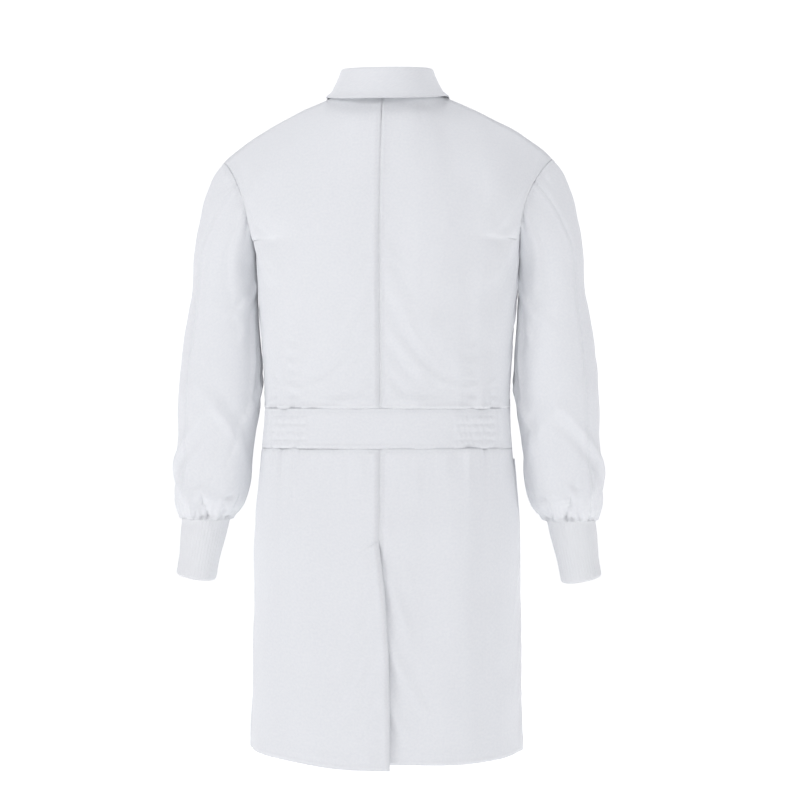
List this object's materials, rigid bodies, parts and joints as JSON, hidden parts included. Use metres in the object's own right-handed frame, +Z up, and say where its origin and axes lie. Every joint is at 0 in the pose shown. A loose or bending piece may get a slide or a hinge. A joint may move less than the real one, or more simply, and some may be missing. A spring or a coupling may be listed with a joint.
{
  "type": "lab coat",
  "caption": "Knee-length lab coat with turned-down collar, set-in two-piece sleeves, rib-knit cuffs, elasticated back waistband, back vent, patch pockets and press-stud front.",
  "frame": {"origin": "centre of the neck opening at the height of the nape, where the coat sits on the neck and shoulders", "axes": "+Z up, +Y towards the back, -Y the front, +X the wearer's left"},
  "size_m": [0.6664, 0.2741, 1.0598],
  "materials": {
    "poly_cotton": "crisp white poly-cotton twill, matt",
    "rib_knit": "white rib knit, soft and matt",
    "elastic": "woven elastic tape",
    "snap_cap": "white glossy press-stud cap",
    "snap_metal": "nickel-plated brass press-stud parts"
  },
  "bodies": {
    "torso": {"back_left": "poly_cotton", "back_right": "poly_cotton", "back_neck_facing": "poly_cotton", "hanger_loop": "poly_cotton", "collar_stand": "poly_cotton", "collar_leaf": "poly_cotton", "waistband_outer": "poly_cotton", "waistband_inner": "poly_cotton", "elastic_left": "elastic", "elastic_right": "elastic", "skirt_back_left": "poly_cotton", "skirt_back_right": "poly_cotton", "front_left": "poly_cotton", "front_right": "poly_cotton", "chest_pocket": "poly_cotton", "hip_pocket_left": "poly_cotton", "hip_pocket_right": "poly_cotton", "snap_cap_top": "snap_cap", "snap_socket_top": "snap_metal", "snap_studs_upper": "snap_metal", "snap_posts_upper": "snap_metal"},
    "front_left_opening": {"front_left_flap": "poly_cotton", "snap_caps": "snap_cap", "snap_sockets": "snap_metal"},
    "front_right_opening": {"front_right_flap": "poly_cotton", "snap_studs_lower": "snap_metal", "snap_posts_lower": "snap_metal"},
    "vent_outer": {"vent_flap_left": "poly_cotton"},
    "vent_inner": {"vent_flap_right": "poly_cotton"},
    "sleeve_left": {"sleeve_left_upper": "poly_cotton", "sleeve_left_under": "poly_cotton", "cuff_left": "rib_knit"},
    "sleeve_right": {"sleeve_right_upper": "poly_cotton", "sleeve_right_under": "poly_cotton", "cuff_right": "rib_knit"}
  },
  "joints": [
    {"name": "front_left_opens", "type": "hinge", "parent": "torso", "child": "front_left_opening", "pos_m": [0.11, -0.1195, -1.004], "axis": [-0.1144, -0.0163, 0.9933], "range_deg": [0, 60]},
    {"name": "front_right_opens", "type": "hinge", "parent": "torso", "child": "front_right_opening", "pos_m": [-0.11, -0.1245, -1.004], "axis": [0.172, 0, 0.9851], "range_deg": [-30, 0]},
    {"name": "vent_outer_swings", "type": "hinge", "parent": "torso", "child": "vent_outer", "pos_m": [0.014, 0.1345, -0.666], "axis": [0.2466, -0.0057, -0.9691], "range_deg": [0, 45]},
    {"name": "vent_inner_swings", "type": "hinge", "parent": "torso", "child": "vent_inner", "pos_m": [-0.014, 0.125, -0.666], "axis": [-0.2466, -0.0086, -0.9691], "range_deg": [0, 30]},
    {"name": "sleeve_left_lifts", "type": "hinge", "parent": "torso", "child": "sleeve_left", "pos_m": [0.256, 0, -0.096], "axis": [0, -1, 0], "range_deg": [0, 60]},
    {"name": "sleeve_right_lifts", "type": "hinge", "parent": "torso", "child": "sleeve_right", "pos_m": [-0.256, 0, -0.096], "axis": [0, 1, 0], "range_deg": [0, 60]}
  ],
  "couplings": [
    {"joint": "front_right_opens", "follows": "front_left_opens", "ratio": -0.5}
  ]
}
